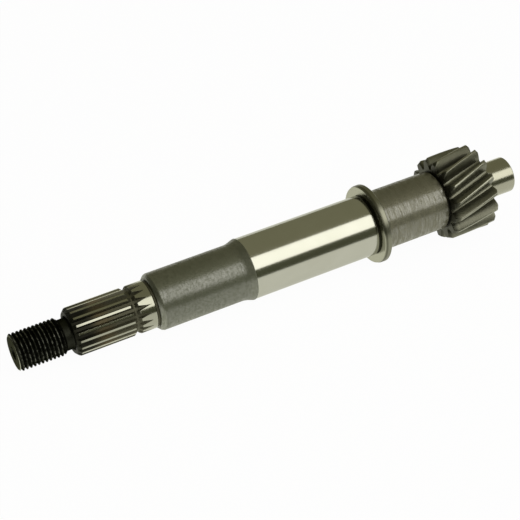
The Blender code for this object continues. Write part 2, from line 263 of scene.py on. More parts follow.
HIDDEN_OVERLAP = 0.3 * MM
TOLERANCE = 0.001 * MM
MERGE_DISTANCE = 0.0001 * MM
THREAD_CROWN = 5 * TOLERANCE
TURNED_STEPS = 192
THREAD_STEPS = 96
SPARE_TURNS = 3
CORNER_SEGMENTS = 6
EDGE_SEGMENTS = 2
EDGE_ANGLE = math.radians(35)
SHARP_ANGLE = math.radians(32)
PLAIN_EDGE_TINT = 0.5

THREAD_EDGE_TINT = 0.25
BLACK_COLOUR = (0.026, 0.027, 0.021, 1.0)
WORN_CREST_COLOUR = (0.25, 0.255, 0.225, 1.0)
END_FACE_COLOUR = (0.085, 0.088, 0.057, 1.0)
# painted highlight: the bright ring round the end face's rim
RIM_HIGHLIGHT_PAINT_COLOUR = (0.50, 0.51, 0.42, 1.0)
WEAR_RANGE = (0.42, 0.72)
BLACK_ROUGHNESS = 0.42
BLACK_RELIEF = 0.02 * MM

hub_face = next(mount for mount in frame["record"]["mounts"] if mount["name"] == "hub_shoulder_face")
shaft_axis = -Vector(hub_face["axis"])
shaft_up = Vector((-shaft_axis.z, 0.0, shaft_axis.x))
shaft_turn = (0.0, math.atan2(shaft_axis.x, shaft_axis.z), 0.0)
thread_end = Vector(hub_face["pos_m"]) - HUB_SHOULDER * shaft_axis - HUB_SHOULDER_RADIUS * shaft_up


def draw_section(name, points):
    """Draws half a section in the XZ plane: one vertex, extruded from point to point."""
    bpy.ops.object.select_all(action="DESELECT")
    bpy.ops.mesh.primitive_plane_add(size=MM, location=(points[0][0], 0.0, points[0][1]))
    bpy.ops.object.transform_apply(location=True, rotation=True, scale=True)
    piece = bpy.context.object
    piece.name = name
    piece.data.name = name
    bpy.ops.object.mode_set(mode="EDIT")
    bpy.ops.mesh.merge(type="CENTER")
    for before, after in zip(points, points[1:]):
        move = (after[0] - before[0], 0.0, after[1] - before[1])
        bpy.ops.mesh.extrude_region_move(TRANSFORM_OT_translate={"value": move})
    bpy.ops.object.mode_set(mode="OBJECT")
    return piece


def round_corner(piece, radius, height, size, segments=CORNER_SEGMENTS):
    """Rounds the corner of a half section that lies at one point."""
    bpy.ops.object.mode_set(mode="EDIT")
    bpy.ops.mesh.select_all(action="DESELECT")
    section = bmesh.from_edit_mesh(piece.data)
    corner = Vector((radius, 0.0, height))
    for vertex in section.verts:
        vertex.select = (vertex.co - corner).length < TOLERANCE
    bmesh.update_edit_mesh(piece.data)
    bpy.ops.mesh.bevel(offset=size, segments=segments, affect="VERTICES")
    bpy.ops.object.mode_set(mode="OBJECT")


def turn(piece):
    """Spins a half section round the axis into a closed solid, as a lathe would leave it."""
    bpy.ops.object.mode_set(mode="EDIT")
    bpy.ops.mesh.select_all(action="SELECT")
    bpy.ops.mesh.spin(steps=TURNED_STEPS, angle=2 * math.pi, center=(0.0, 0.0, 0.0), axis=(0.0, 0.0, 1.0))
    bpy.ops.mesh.select_all(action="SELECT")
    bpy.ops.mesh.remove_doubles(threshold=MERGE_DISTANCE)
    bpy.ops.mesh.normals_make_consistent(inside=False)
    bpy.ops.object.mode_set(mode="OBJECT")


def apply_modifier(piece, modifier):
    """Applies one modifier of a piece."""
    bpy.ops.object.select_all(action="DESELECT")
    piece.select_set(True)
    bpy.context.view_layer.objects.active = piece
    bpy.ops.object.modifier_apply(modifier=modifier.name)


def cut(piece, other, operation):
    """Cuts a solid with another one, which is then thrown away."""
    boolean = piece.modifiers.new("cut", "BOOLEAN")
    boolean.object = other
    boolean.operation = operation
    boolean.solver = "EXACT"
    apply_modifier(piece, boolean)
    bpy.data.objects.remove(other)


def break_edges(piece, width):
    """Breaks the sharp edges by a small bevel."""
    bevel = piece.modifiers.new("broken_edges", "BEVEL")
    bevel.width = width
    bevel.segments = EDGE_SEGMENTS
    bevel.limit_method = "ANGLE"
    bevel.angle_limit = EDGE_ANGLE
    apply_modifier(piece, bevel)


def lay_down(piece, finish, sharp=SHARP_ANGLE):
    """Shades a piece, gives it its finish and lays it in its place along the shaft."""
    bpy.ops.object.select_all(action="DESELECT")
    piece.select_set(True)
    bpy.context.view_layer.objects.active = piece
    bpy.ops.object.shade_smooth_by_angle(angle=sharp)
    flat_faces_lead = piece.modifiers.new("flat_faces_lead", "WEIGHTED_NORMAL")
    flat_faces_lead.keep_sharp = True
    apply_modifier(piece, flat_faces_lead)
    piece.rotation_euler = shaft_turn
    piece.location = thread_end
    bpy.ops.object.transform_apply(location=True, rotation=True, scale=True)
    piece.data.materials.append(finish)


class Steel(Nodes):
    """A steel finish, with the shaft's own coordinates in millimetres. The edge tint is what
    the steel still mirrors at grazing angles, where clean steel would mirror everything."""

    def __init__(self, name, edge_tint=PLAIN_EDGE_TINT):
        self.material = bpy.data.materials.new(name)
        self.material.use_nodes = True
        super().__init__(self.material.node_tree)
        self.shader = self.tree.nodes["Principled BSDF"]
        self.shader.inputs["Metallic"].default_value = 1.0
        self.shader.inputs["Specular Tint"].default_value = (edge_tint, edge_tint, edge_tint, 1.0)
        place = self.add("ShaderNodeTexCoord", output="Object")
        upright = {0: place, 1: thread_end, 2: shaft_turn, 3: (MM, MM, MM)}
        place = self.add("ShaderNodeMapping", {"vector_type": "TEXTURE"}, upright)
        across = self.add("ShaderNodeVectorMath", {"operation": "MULTIPLY"}, {0: place, 1: (1.0, 1.0, 0.0)})
        self.place = place
        self.along = self.add("ShaderNodeSeparateXYZ", None, {0: place}, output="Z")
        self.radius = self.add("ShaderNodeVectorMath", {"operation": "LENGTH"}, {0: across}, output="Value")

    def grain(self, around, along, detail=3.0, roughness=0.6):
        """Noise between 0 and 1, its cells so many to the millimetre around and along the shaft."""
        cells = {0: self.place, 1: (around, around, along)}
        scaled = self.add("ShaderNodeVectorMath", {"operation": "MULTIPLY"}, cells)
        inputs = {"Vector": scaled, "Scale": 1.0, "Detail": detail, "Roughness": roughness}
        return self.add("ShaderNodeTexNoise", None, inputs)

    def rings(self, place, scale, detail):
        """Noise between 0 and 1 in rings, which varies with one measure of place alone."""
        inputs = {"W": place, "Scale": scale, "Detail": detail}
        return self.add("ShaderNodeTexNoise", {"noise_dimensions": "1D"}, inputs)

    def outwards(self, radius, low, high):
        """Rises from 0 to 1 between two millimetre marks, counted outwards from a radius."""
        return self.step(self.radius, radius / MM + low, radius / MM + high)

    def onwards(self, place, low, high):
        """Rises from 0 to 1 between two millimetre marks, counted along from a place."""
        return self.step(self.along, place / MM + low, place / MM + high)

    def coat(self, weight, roughness, index):
        """Adds a glossy oxide film over the steel, with its roughness and refractive index."""
        self.put(self.shader.inputs["Coat Weight"], weight)
        self.shader.inputs["Coat Roughness"].default_value = roughness
        self.shader.inputs["Coat IOR"].default_value = index

    def look(self, colour, roughness, height, relief):
        """Sets the colour and roughness, and the fine relief: its pattern and its depth."""
        self.put(self.shader.inputs["Base Color"], colour)
        self.put(self.shader.inputs["Roughness"], roughness)
        bump = {"Height": height, "Strength": 1.0, "Distance": relief}
        self.put(self.shader.inputs["Normal"], self.add("ShaderNodeBump", None, bump))
        return self.material


thread_radius = THREAD_DIAMETER / 2
neck_radius = NECK_DIAMETER / 2
face_radius = thread_radius - THREAD_CHAMFER
thread = draw_section("threaded_end", [
    (0.0, CENTRE_POINT_DEPTH), (CENTRE_PILOT_DIAMETER / 2, CENTRE_PILOT_DEPTH),
    (CENTRE_PILOT_DIAMETER / 2, CENTRE_CONE_DEPTH), (CENTRE_MOUTH_DIAMETER / 2, 0.0),
    (face_radius, 0.0), (thread_radius, THREAD_CHAMFER), (thread_radius, THREAD_LENGTH),
    (neck_radius, THREAD_LENGTH + (THREAD_DIAMETER - NECK_DIAMETER) / 2),
    (neck_radius, NECK_END), (neck_radius + NECK_FILLET, NECK_END),
    (neck_radius + NECK_FILLET, NECK_END + HIDDEN_OVERLAP), (0.0, NECK_END + HIDDEN_OVERLAP)])
round_corner(thread, neck_radius, NECK_END, NECK_FILLET - TOLERANCE)
turn(thread)

# The thread is what the turned end has in common with a threaded rod that is longer both ways.
crest_middle = (1 + THREAD_ROOT_SHARE) / 2
groove = (
    (THREAD_MINOR_DIAMETER / 2, 0.0), (THREAD_ROOT_DIAMETER / 2, THREAD_ROOT_SHARE / 2),
    (THREAD_MINOR_DIAMETER / 2, THREAD_ROOT_SHARE), (thread_radius, crest_middle - THREAD_CREST_SHARE / 2),
    (thread_radius + THREAD_CROWN, crest_middle), (thread_radius, crest_middle + THREAD_CREST_SHARE / 2))
rod_start = THREAD_LAG - (SPARE_TURNS + THREAD_ROOT_SHARE / 2) * THREAD_PITCH
rod_turns = round((NECK_END - rod_start) / THREAD_PITCH) + SPARE_TURNS
rod_end = rod_start + rod_turns * THREAD_PITCH
rod_points = [(0.0, rod_start)]
for number in range(rod_turns):
    rod_points += [(radius, rod_start + (number + share) * THREAD_PITCH) for radius, share in groove]
rod_points += [(THREAD_MINOR_DIAMETER / 2, rod_end), (0.0, rod_end)]
rod = draw_section("threaded_rod", rod_points)
screw = rod.modifiers.new("thread", "SCREW")
screw.steps = THREAD_STEPS
screw.render_steps = THREAD_STEPS
screw.screw_offset = THREAD_PITCH
screw.use_merge_vertices = True
screw.merge_threshold = MERGE_DISTANCE
apply_modifier(rod, screw)
bpy.ops.object.mode_set(mode="EDIT")
bpy.ops.mesh.select_all(action="SELECT")
bpy.ops.mesh.remove_doubles(threshold=MERGE_DISTANCE)
bpy.ops.mesh.fill_holes(sides=0)
bpy.ops.mesh.select_all(action="SELECT")
bpy.ops.mesh.normals_make_consistent(inside=False)
bpy.ops.object.mode_set(mode="OBJECT")
cut(thread, rod, "INTERSECT")

black = Steel("blackened_thread", THREAD_EDGE_TINT)
crest = black.outwards(thread_radius, low=-0.45, high=0.0)
wear = black.step(black.grain(around=0.9, along=0.8), *WEAR_RANGE)
black_colour = black.blend(crest * wear, BLACK_COLOUR, WORN_CREST_COLOUR)
behind_face = black.onwards(0.0, low=0.0, high=0.05)
black_colour = black.blend(behind_face, END_FACE_COLOUR, black_colour)
# painted highlight: a bright ring on the end face's outer rim, in place of the light its edge catches
painted_rim_highlight = black.outwards(face_radius, low=-0.2, high=0.0) * (1.0 - black.onwards(0.0, low=0.1, high=0.4))
black_colour = black.blend(painted_rim_highlight, black_colour, RIM_HIGHLIGHT_PAINT_COLOUR)
pitting = black.grain(around=1.5, along=4.0)
black_material = black.look(black_colour, BLACK_ROUGHNESS + 0.2 * wear, pitting, BLACK_RELIEF)
lay_down(thread, black_material)
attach(thread, "root")
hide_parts("drive_shaft")


# Splined seat: nineteen straight splines that drive the hub, a relief groove, and a ground
# seat into which the spline cutter ran out, leaving a crown of pointed notches. Hardening left
# smoke and a tan band on the splines next to the thread, most of all between them.
SPLINE_TEETH = 19
SPLINE_DIAMETER = 15.4 * MM
SPLINE_ROOT_DIAMETER = 13.5 * MM
SPLINE_START = 18.9 * MM
SPLINE_END = 36.5 * MM
SPLINE_LAND = 0.6 * MM
SPLINE_FLANK_ANGLE = math.radians(30)
SPLINE_NOSE = 1.1 * MM
SPLINE_PHASE = math.radians(239.5)
SPLINE_DEPTH = (SPLINE_DIAMETER - SPLINE_ROOT_DIAMETER) / 2
SEAT_START = 38.9 * MM
SEAT_END = 43.7 * MM
SEAT_UNDERCUT_DEPTH = 0.35 * MM
FACE_UNDERCUT_DEPTH = 0.2 * MM
CUTTER_MARGIN = 0.5 * MM
RUN_OUT_START = SEAT_START - CUTTER_MARGIN
RUN_OUT_END = RUN_OUT_START + 4.4 * MM
RUN_OUT_POINT_SHARE = 0.1
FACING = 0.9

SEAT_EDGE_TINT = 1.0
GROOVE_COLOUR = (0.14, 0.136, 0.10, 1.0)
TAN_COLOUR = (0.155, 0.122, 0.07, 1.0)
SMOKED_GROOVE_COLOUR = (0.025, 0.025, 0.021, 1.0)
LAND_COLOUR = (0.36, 0.36, 0.305, 1.0)
SMOKED_LAND_COLOUR = (0.12, 0.12, 0.10, 1.0)
NOSE_COLOUR = (0.026, 0.027, 0.019, 1.0)
TAN_START = 24.0 * MM
TAN_END = 29.5 * MM
TAN_FADE = 2.5
TAN_STRENGTH = 0.7
GROOVE_SMOKE = 0.88
GROOVE_SMOKE_FADE = (23.0, 28.0)
LAND_SMOKE = 0.4
LAND_SMOKE_FADE = (19.5, 22.5)
NOSE_SMOKE = 0.65
GROOVE_ROUGHNESS = 0.58
LAND_POLISH = 0.45
SEAT_RELIEF = 0.004 * MM

seat_radius = SPLINE_DIAMETER / 2
root_radius = SPLINE_ROOT_DIAMETER / 2
seat_undercut_radius = seat_radius - SEAT_UNDERCUT_DEPTH
seat_back = HUB_SHOULDER + FACE_UNDERCUT_DEPTH + HIDDEN_OVERLAP
splines = draw_section("splined_seat", [
    (0.0, NECK_END), (seat_radius - SPLINE_NOSE, NECK_END), (seat_radius, SPLINE_START),
    (seat_radius, SPLINE_END), (root_radius, SPLINE_END + SPLINE_DEPTH),
    (root_radius, SEAT_START - SPLINE_DEPTH), (seat_radius, SEAT_START), (seat_radius, SEAT_END),
    (seat_undercut_radius, SEAT_END + SEAT_UNDERCUT_DEPTH), (seat_undercut_radius, seat_back),
    (0.0, seat_back)])
turn(splines)

spline_pitch = 2 * math.pi / SPLINE_TEETH
flank_spread = 2 * SPLINE_DEPTH * math.tan(SPLINE_FLANK_ANGLE)
floor_width = spline_pitch * seat_radius - SPLINE_LAND - flank_spread
cutter_top = seat_radius + CUTTER_MARGIN
cutter_start = NECK_END - NECK_FILLET
cutter_height = cutter_top - root_radius
top_width = floor_width + 2 * cutter_height * math.tan(SPLINE_FLANK_ANGLE)
bpy.ops.object.select_all(action="DESELECT")
bpy.ops.mesh.primitive_cube_add(
    size=1.0, location=((cutter_top + root_radius) / 2, 0.0, (cutter_start + RUN_OUT_START) / 2),
    scale=(cutter_height, floor_width, RUN_OUT_START - cutter_start))
cutter = bpy.context.object
cutter.name = "spline_cutter"
bpy.ops.object.transform_apply(location=True, rotation=True, scale=True)


def select_faces(piece, chosen):
    """Selects, in edit mode, the faces for which a test is true."""
    bpy.ops.mesh.select_all(action="DESELECT")
    mesh = bmesh.from_edit_mesh(piece.data)
    for face in mesh.faces:
        face.select_set(chosen(face))
    bmesh.update_edit_mesh(piece.data)


# The cutter widens upwards, and its far end is drawn out to the point of a notch.
bpy.ops.object.mode_set(mode="EDIT")
bpy.ops.mesh.select_mode(type="FACE")
select_faces(cutter, lambda face: face.normal.x > FACING)
bpy.ops.transform.resize(value=(1.0, top_width / floor_width, 1.0))
select_faces(cutter, lambda face: face.normal.z > FACING)
bpy.ops.mesh.extrude_region_move(TRANSFORM_OT_translate={"value": (0.0, 0.0, RUN_OUT_END - RUN_OUT_START)})
point_rise = (CUTTER_MARGIN - RUN_OUT_POINT_SHARE * floor_width) / cutter_height
bpy.ops.transform.resize(value=(point_rise, RUN_OUT_POINT_SHARE, 1.0),
                         center_override=(cutter_top, 0.0, RUN_OUT_END))
bpy.ops.mesh.select_mode(type="VERT")
bpy.ops.mesh.select_all(action="SELECT")
all_but_one = SPLINE_TEETH - 1
bpy.ops.mesh.spin(steps=all_but_one, dupli=True, angle=all_but_one * spline_pitch,
                  center=(0.0, 0.0, 0.0), axis=(0.0, 0.0, 1.0))
bpy.ops.mesh.select_all(action="SELECT")
bpy.ops.mesh.normals_make_consistent(inside=False)
bpy.ops.object.mode_set(mode="OBJECT")
cutter.rotation_euler = (0.0, 0.0, SPLINE_PHASE + spline_pitch / 2)
bpy.ops.object.transform_apply(location=True, rotation=True, scale=True)
cut(splines, cutter, "DIFFERENCE")

seat = Steel("splined_steel", SEAT_EDGE_TINT)
land = seat.outwards(seat_radius, low=-0.14, high=-0.03)
smoke_edge = seat.along + 2.0 * seat.grain(around=0.6, along=0.3)
tan_band = seat.onwards(TAN_START, -TAN_FADE, TAN_FADE) - seat.onwards(TAN_END, -TAN_FADE, TAN_FADE)
groove_colour = seat.blend(tan_band * TAN_STRENGTH, GROOVE_COLOUR, TAN_COLOUR)
groove_smoke = GROOVE_SMOKE - GROOVE_SMOKE * seat.step(smoke_edge, *GROOVE_SMOKE_FADE)
groove_colour = seat.blend(groove_smoke, groove_colour, SMOKED_GROOVE_COLOUR)
land_smoke = LAND_SMOKE - LAND_SMOKE * seat.step(smoke_edge, *LAND_SMOKE_FADE)
land_colour = seat.blend(land_smoke, LAND_COLOUR, SMOKED_LAND_COLOUR)
seat_colour = seat.blend(land, groove_colour, land_colour)
nose = 1.0 - seat.onwards(SPLINE_START, low=-0.2, high=0.2)
seat_colour = seat.blend(NOSE_SMOKE * nose, seat_colour, NOSE_COLOUR)
seat_marks = seat.grain(around=0.25, along=6.0)
seat_roughness = GROOVE_ROUGHNESS - LAND_POLISH * land + 0.04 * seat_marks
seat_material = seat.look(seat_colour, seat_roughness, seat_marks, SEAT_RELIEF)
lay_down(splines, seat_material)
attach(splines, "root")
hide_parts("drive_shaft")


# Front shank: a plain stretch left grey and mottled by heat treatment. Its front edge is
# chamfered and blunted, and at the back it flares up to where the journal was ground down.
# The flared part and the chamfered front edge are painted lighter, as painted light on these sloping faces.
SHANK_DIAMETER = 18.4 * MM
SHANK_CHAMFER = 0.85 * MM
SHANK_BLUNTING_LENGTH = 0.6 * MM
SHANK_BLUNTING_DEPTH = 0.25 * MM
SHANK_EDGE_WIDTH = 0.08 * MM
FLARE_START = 73.75 * MM
FLARE_DIAMETER = 20.3 * MM
FLARE_FILLET = 1.2 * MM
JOURNAL_DIAMETER = 20.0 * MM
JOURNAL_START = 76.8 * MM
FACE_CLEARANCE = 0.05 * MM

SHANK_COLOUR = (0.178, 0.187, 0.142, 1.0)
SHANK_MOTTLE_COLOUR = (0.138, 0.145, 0.106, 1.0)
# painted light: lighter colours for the flared part and the chamfered front edge
FLARE_PAINTED_LIGHT_COLOUR = (0.193, 0.202, 0.154, 1.0)
SHANK_FRONT_PAINTED_LIGHT_COLOUR = (0.24, 0.25, 0.195, 1.0)
SHANK_ROUGHNESS = 0.56
SHANK_RELIEF = 0.01 * MM
SHANK_FILM_RANGE = (0.58, 0.98)
SHANK_FILM_ROUGHNESS = 0.27
SHANK_FILM_INDEX = 2.3

shank_radius = SHANK_DIAMETER / 2
blunt_radius = shank_radius - SHANK_BLUNTING_DEPTH
flare_radius = FLARE_DIAMETER / 2
journal_radius = JOURNAL_DIAMETER / 2
shank = draw_section("front_shank", [
    (0.0, HUB_SHOULDER + FACE_UNDERCUT_DEPTH), (seat_undercut_radius, HUB_SHOULDER + FACE_UNDERCUT_DEPTH),
    (seat_radius + FACE_CLEARANCE, HUB_SHOULDER), (blunt_radius - SHANK_CHAMFER, HUB_SHOULDER),
    (blunt_radius, HUB_SHOULDER + SHANK_CHAMFER),
    (shank_radius, HUB_SHOULDER + SHANK_CHAMFER + SHANK_BLUNTING_LENGTH), (shank_radius, FLARE_START),
    (flare_radius, JOURNAL_START - (flare_radius - journal_radius)), (journal_radius, JOURNAL_START),
    (journal_radius - HIDDEN_OVERLAP, JOURNAL_START + HIDDEN_OVERLAP), (0.0, JOURNAL_START + HIDDEN_OVERLAP)])
round_corner(shank, shank_radius, FLARE_START, FLARE_FILLET)
turn(shank)
break_edges(shank, SHANK_EDGE_WIDTH)

treated = Steel("heat_treated_shank")
mottle = treated.grain(around=1.1, along=2.2, detail=5.0)
scratches = treated.grain(around=0.3, along=5.0)
shank_colour = treated.blend(mottle, SHANK_COLOUR, SHANK_MOTTLE_COLOUR)
# painted light: the flared part and the chamfered front edge are painted lighter than the shank
painted_light_on_flare = treated.outwards(shank_radius, low=0.1, high=0.5)
shank_colour = treated.blend(painted_light_on_flare, shank_colour, FLARE_PAINTED_LIGHT_COLOUR)
painted_light_on_front_edge = 1.0 - treated.onwards(HUB_SHOULDER, low=1.1, high=1.5)
shank_colour = treated.blend(painted_light_on_front_edge, shank_colour, SHANK_FRONT_PAINTED_LIGHT_COLOUR)
shank_roughness = SHANK_ROUGHNESS + 0.1 * mottle + 0.06 * scratches
shank_film = 0.18 + 0.7 * treated.step(mottle + 0.6 * scratches, *SHANK_FILM_RANGE)
treated.coat(shank_film, SHANK_FILM_ROUGHNESS, SHANK_FILM_INDEX)
shank_material = treated.look(shank_colour, shank_roughness, mottle + 0.5 * scratches, SHANK_RELIEF)
lay_down(shank, shank_material)
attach(shank, "root")
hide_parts("drive_shaft")


# Ground journal: the bright seat of the main bearing, ground true between centres. The grinding
# wheel's undercut in front of the collar is left unground and rougher, and shade is painted into it as a dark
# colour.
JOURNAL_END = 120.05 * MM
JOURNAL_UNDERCUT_DEPTH = 0.4 * MM
JOURNAL_EDGE_WIDTH = 0.06 * MM
COLLAR_START = 120.7 * MM

JOURNAL_EDGE_TINT = 0.8
JOURNAL_COLOUR = (0.44, 0.44, 0.39, 1.0)
JOURNAL_FILM_COLOUR = (0.49, 0.49, 0.45, 1.0)
# painted shade: the dark colour of the undercut recess
UNDERCUT_PAINTED_SHADE_COLOUR = (0.06, 0.06, 0.045, 1.0)
JOURNAL_ROUGHNESS = 0.12
JOURNAL_RELIEF = 0.002 * MM

undercut_radius = journal_radius - JOURNAL_UNDERCUT_DEPTH
collar_foot = COLLAR_START + FACE_UNDERCUT_DEPTH
journal = draw_section("ground_journal", [
    (0.0, JOURNAL_START), (journal_radius, JOURNAL_START), (journal_radius, JOURNAL_END),
    (undercut_radius, JOURNAL_END + JOURNAL_UNDERCUT_DEPTH),
    (undercut_radius, collar_foot + HIDDEN_OVERLAP), (0.0, collar_foot + HIDDEN_OVERLAP)])
turn(journal)
break_edges(journal, JOURNAL_EDGE_WIDTH)

ground = Steel("ground_steel", JOURNAL_EDGE_TINT)
grinding = ground.grain(around=0.12, along=9.0, detail=4.0)
film = ground.grain(around=0.15, along=0.12, detail=2.0)
# painted shade: the undercut recess is darkened in colour, and it is also left rougher, as unground
unground_and_painted_shade = 1.0 - ground.outwards(journal_radius, low=-0.2, high=-0.06)
ground_colour = ground.blend(film, JOURNAL_COLOUR, JOURNAL_FILM_COLOUR)
ground_colour = ground.blend(unground_and_painted_shade, ground_colour, UNDERCUT_PAINTED_SHADE_COLOUR)
ground_roughness = JOURNAL_ROUGHNESS + 0.05 * grinding + 0.3 * unground_and_painted_shade
ground_material = ground.look(ground_colour, ground_roughness, grinding, JOURNAL_RELIEF)
lay_down(journal, ground_material)
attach(journal, "root")
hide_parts("drive_shaft")


# Thrust collar: the flange that takes the bearing's side load. It is faced bright in front and
# turned duller on its rim, with a long shallow bevel in front and a broken edge behind.
COLLAR_END = 123.15 * MM
COLLAR_DIAMETER = 26.1 * MM
COLLAR_BEVEL_LENGTH = 0.8 * MM
COLLAR_BEVEL_DEPTH = 0.3 * MM
COLLAR_EDGE = 0.25 * MM
COLLAR_EDGE_WIDTH = 0.06 * MM

COLLAR_EDGE_TINT = 0.75
COLLAR_FACE_DARK_COLOUR = (0.36, 0.36, 0.28, 1.0)
COLLAR_FACE_LIGHT_COLOUR = (0.48, 0.48, 0.40, 1.0)
COLLAR_RIM_COLOUR = (0.235, 0.235, 0.19, 1.0)
COLLAR_BEVEL_COLOUR = (0.13, 0.13, 0.10, 1.0)
COLLAR_ROUGHNESS = 0.16
COLLAR_RELIEF = 0.006 * MM

collar_radius = COLLAR_DIAMETER / 2
collar = draw_section("thrust_collar", [
    (0.0, collar_foot), (undercut_radius, collar_foot), (journal_radius + FACE_CLEARANCE, COLLAR_START),
    (collar_radius - COLLAR_BEVEL_DEPTH, COLLAR_START), (collar_radius, COLLAR_START + COLLAR_BEVEL_LENGTH),
    (collar_radius, COLLAR_END - COLLAR_EDGE), (collar_radius - COLLAR_EDGE, COLLAR_END), (0.0, COLLAR_END)])
turn(collar)
break_edges(collar, COLLAR_EDGE_WIDTH)

faced = Steel("faced_collar", COLLAR_EDGE_TINT)
facing_rings = faced.rings(faced.radius, scale=7.0, detail=3.0)
collar_marks = faced.grain(around=0.15, along=6.0)
collar_rim = faced.outwards(collar_radius, low=-0.35, high=-0.1)
collar_colour = faced.blend(facing_rings, COLLAR_FACE_DARK_COLOUR, COLLAR_FACE_LIGHT_COLOUR)
bevel = 1.0 - faced.onwards(COLLAR_START + COLLAR_BEVEL_LENGTH, low=0.0, high=0.3)
rim_colour = faced.blend(bevel, COLLAR_RIM_COLOUR, COLLAR_BEVEL_COLOUR)
collar_colour = faced.blend(collar_rim, collar_colour, rim_colour)
collar_roughness = COLLAR_ROUGHNESS + 0.12 * collar_rim + 0.1 * collar_marks
collar_material = faced.look(collar_colour, collar_roughness, facing_rings + collar_marks, COLLAR_RELIEF)
lay_down(collar, collar_material)
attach(collar, "root")
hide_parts("drive_shaft")


# Rear shank: grey from heat treatment like the front one, but turned coarser, with a fillet
# at the collar and a lip at the groove that parts it from the pinion.
REAR_SHANK_DIAMETER = 19.6 * MM
REAR_SHANK_END = 146.5 * MM
REAR_SHANK_FILLET = 1.4 * MM
REAR_SHANK_LIP = 0.3 * MM
LIP_SEGMENTS = 3
PINION_UNDERCUT_DEPTH = 0.8 * MM
PINION_START = 147.0 * MM

REAR_SHANK_COLOUR = (0.245, 0.237, 0.182, 1.0)
REAR_SHANK_CUT_COLOUR = (0.132, 0.127, 0.091, 1.0)
CUT_MARK_RANGE = (0.42, 0.62)
REAR_SHANK_ROUGHNESS = 0.54
REAR_SHANK_RELIEF = 0.02 * MM
REAR_SHANK_FILM_ROUGHNESS = 0.22
REAR_SHANK_FILM_INDEX = 2.4

rear_radius = REAR_SHANK_DIAMETER / 2
core_radius = rear_radius - PINION_UNDERCUT_DEPTH
rear_shank = draw_section("rear_shank", [
    (0.0, COLLAR_END - HIDDEN_OVERLAP), (rear_radius + REAR_SHANK_FILLET, COLLAR_END - HIDDEN_OVERLAP),
    (rear_radius + REAR_SHANK_FILLET, COLLAR_END), (rear_radius, COLLAR_END),
    (rear_radius, REAR_SHANK_END), (core_radius, REAR_SHANK_END),
    (core_radius, PINION_START + HIDDEN_OVERLAP), (0.0, PINION_START + HIDDEN_OVERLAP)])
round_corner(rear_shank, rear_radius, COLLAR_END, REAR_SHANK_FILLET - TOLERANCE)
round_corner(rear_shank, rear_radius, REAR_SHANK_END, REAR_SHANK_LIP, LIP_SEGMENTS)
turn(rear_shank)

turned = Steel("turned_shank")
feed_rings = turned.rings(turned.along, scale=1.8, detail=4.0)
turning = turned.grain(around=0.35, along=1.7, detail=5.0, roughness=0.8)
smear = turned.grain(around=0.3, along=0.5)
cut_marks = 0.4 * turned.step(feed_rings, *CUT_MARK_RANGE) + 0.6 * turned.step(turning, *CUT_MARK_RANGE)
rear_colour = turned.blend(0.5 * smear + 0.5 * cut_marks, REAR_SHANK_COLOUR, REAR_SHANK_CUT_COLOUR)
rear_roughness = REAR_SHANK_ROUGHNESS + 0.1 * smear + 0.08 * turning
turned.coat(0.1 + 0.9 * cut_marks, REAR_SHANK_FILM_ROUGHNESS, REAR_SHANK_FILM_INDEX)
rear_material = turned.look(rear_colour, rear_roughness, turning + 0.3 * smear, REAR_SHANK_RELIEF)
lay_down(rear_shank, rear_material)
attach(rear_shank, "root")
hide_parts("drive_shaft")


# Helical pinion: fifteen hobbed teeth, left-hand, hardened dark grey, with rounded and
# chamfered ends. The tip lands are worn bright, and the front ends are painted near black as
# shade, next to the groove in front of the teeth.
PINION_TEETH = 15
PINION_MODULE = 1.5 * MM
PINION_SHIFT = 0.5
PINION_HELIX = math.radians(15.5)
PINION_PRESSURE_ANGLE = math.radians(20)
PINION_CLEARANCE = 0.25
PINION_FACE_WIDTH = 16.3 * MM
PINION_END = PINION_START + PINION_FACE_WIDTH
PINION_CHAMFER_DEPTH = 0.9 * MM
PINION_FRONT_CHAMFER = 1.6 * MM
PINION_REAR_CHAMFER = 0.7 * MM
PINION_ROOT_FILLET = 0.5 * MM
PINION_PHASE = math.radians(247.4)
TIP_ROUNDING = 0.10 * MM
END_ROUNDING = 0.18 * MM
ROUNDING_SHARE = 0.3
FLANK_POINTS = 7
HELIX_STATIONS = 24
PINION_SHARP_ANGLE = math.radians(40)

PINION_EDGE_TINT = 1.0
PINION_DARK_COLOUR = (0.138, 0.138, 0.106, 1.0)
PINION_LIGHT_COLOUR = (0.23, 0.23, 0.187, 1.0)
TIP_LAND_COLOUR = (0.31, 0.31, 0.26, 1.0)
# painted shade: the near-black colour of the teeth's front ends, and how strongly it is laid on
PINION_FRONT_SHADE_COLOUR = (0.03, 0.03, 0.022, 1.0)
PINION_FRONT_SHADE_STRENGTH = 0.75
PINION_ROUGHNESS = 0.36
PINION_RELIEF = 0.02 * MM

pitch_radius = PINION_TEETH * PINION_MODULE / math.cos(PINION_HELIX) / 2
tip_radius = pitch_radius + (1 + PINION_SHIFT) * PINION_MODULE
gap_radius = pitch_radius - (1 + PINION_CLEARANCE - PINION_SHIFT) * PINION_MODULE
transverse_angle = math.atan(math.tan(PINION_PRESSURE_ANGLE) / math.cos(PINION_HELIX))
base_radius = pitch_radius * math.cos(transverse_angle)
twist_per_metre = math.tan(PINION_HELIX) / pitch_radius


def half_thickness(radius):
    """Half the angle that an involute tooth fills at a radius."""
    at_pitch = (math.pi / 2 + 2 * PINION_SHIFT * math.tan(PINION_PRESSURE_ANGLE)) / PINION_TEETH
    pressure = math.acos(min(1.0, base_radius / radius))
    return at_pitch + math.tan(transverse_angle) - transverse_angle - math.tan(pressure) + pressure


